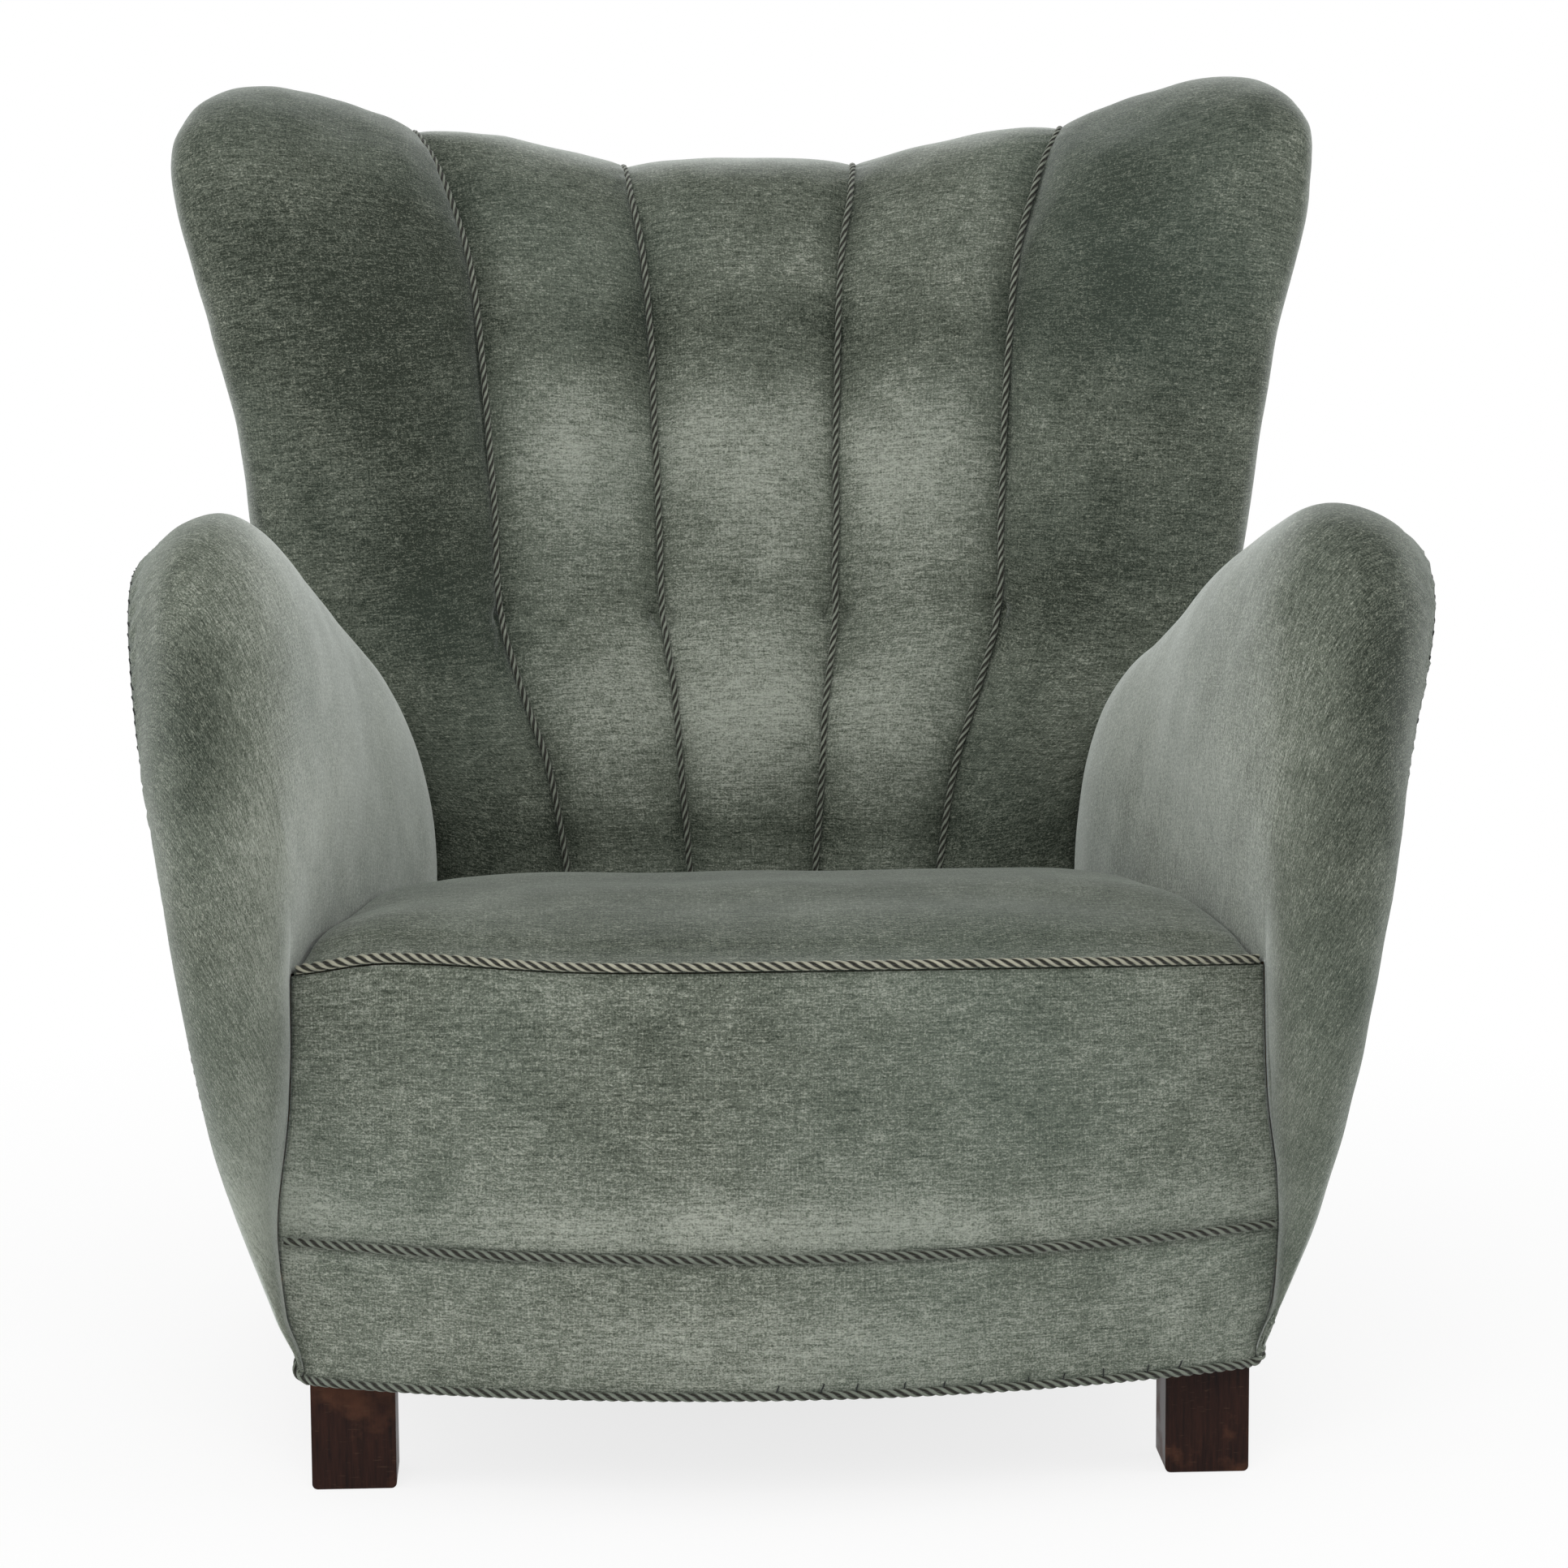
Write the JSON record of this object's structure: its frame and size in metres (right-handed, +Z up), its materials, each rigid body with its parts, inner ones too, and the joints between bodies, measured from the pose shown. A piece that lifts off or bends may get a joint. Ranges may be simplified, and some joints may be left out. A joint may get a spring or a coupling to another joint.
{
  "type": "high back lounge chair",
  "caption": "Upholstered lounge chair with a tall channelled back, curved wings, round-nosed arms, a bowed sprung seat and short square wooden legs.",
  "frame": {"origin": "on the floor, under the middle of the chair's outer box", "axes": "+X to the right as seen from the front, +Y from the front to the back, +Z up"},
  "size_m": [0.92, 0.8501, 0.9872],
  "materials": {
    "green_velour": "crushed short-pile velour, grey green",
    "twisted_cord": "twisted furnishing cord, dark green",
    "stained_legs": "dark stained hardwood, worn satin lacquer",
    "beech_frame": "planed, unfinished",
    "jute_webbing": "woven jute",
    "hessian": "open plain weave",
    "fibre_stuffing": "teased fibre with wadding",
    "spring_wire": "coppered or lacquered wire",
    "black_cloth": "thin plain weave",
    "blued_tacks": "blued"
  },
  "bodies": {
    "root": {"front_rail": "beech_frame", "rear_rail": "beech_frame", "side_rail_left": "beech_frame", "side_rail_right": "beech_frame", "corner_blocks": "beech_frame", "front_leg_left": "stained_legs", "front_leg_right": "stained_legs", "rear_leg_left": "stained_legs", "rear_leg_right": "stained_legs", "leg_dowels": "beech_frame", "frame_dowels": "beech_frame", "back_stile_left": "beech_frame", "back_stile_right": "beech_frame", "back_top_rail": "beech_frame", "back_lower_rail": "beech_frame", "wing_board_left": "beech_frame", "wing_board_right": "beech_frame", "arm_board_left": "beech_frame", "arm_board_right": "beech_frame", "arm_rail_left": "beech_frame", "arm_rail_right": "beech_frame", "tacking_rail_left": "beech_frame", "tacking_rail_right": "beech_frame", "seat_webbing_long": "jute_webbing", "seat_webbing_cross": "jute_webbing", "seat_springs": "spring_wire", "seat_hessian": "hessian", "back_webbing_long": "jute_webbing", "back_webbing_cross": "jute_webbing", "back_springs": "spring_wire", "back_hessian": "hessian", "seat_stuffing": "fibre_stuffing", "front_padding": "fibre_stuffing", "channel_stuffing": "fibre_stuffing", "wing_stuffing_left": "fibre_stuffing", "wing_stuffing_right": "fibre_stuffing", "arm_stuffing_left": "fibre_stuffing", "arm_stuffing_right": "fibre_stuffing", "seat_cover": "green_velour", "front_border": "green_velour", "apron_band": "green_velour", "channel_cover_left": "green_velour", "channel_cover_centre": "green_velour", "channel_cover_right": "green_velour", "wing_cover_left": "green_velour", "wing_cover_right": "green_velour", "inside_arm_cover_left": "green_velour", "inside_arm_cover_right": "green_velour", "outside_arm_cover_left": "green_velour", "outside_arm_cover_right": "green_velour", "outside_back_cover": "green_velour", "dust_cover": "black_cloth", "dust_cover_tacks": "blued_tacks", "seat_cord": "twisted_cord", "border_cord": "twisted_cord", "hem_cord": "twisted_cord", "back_cords_inner": "twisted_cord", "back_cords_outer": "twisted_cord"}
  },
  "joints": []
}
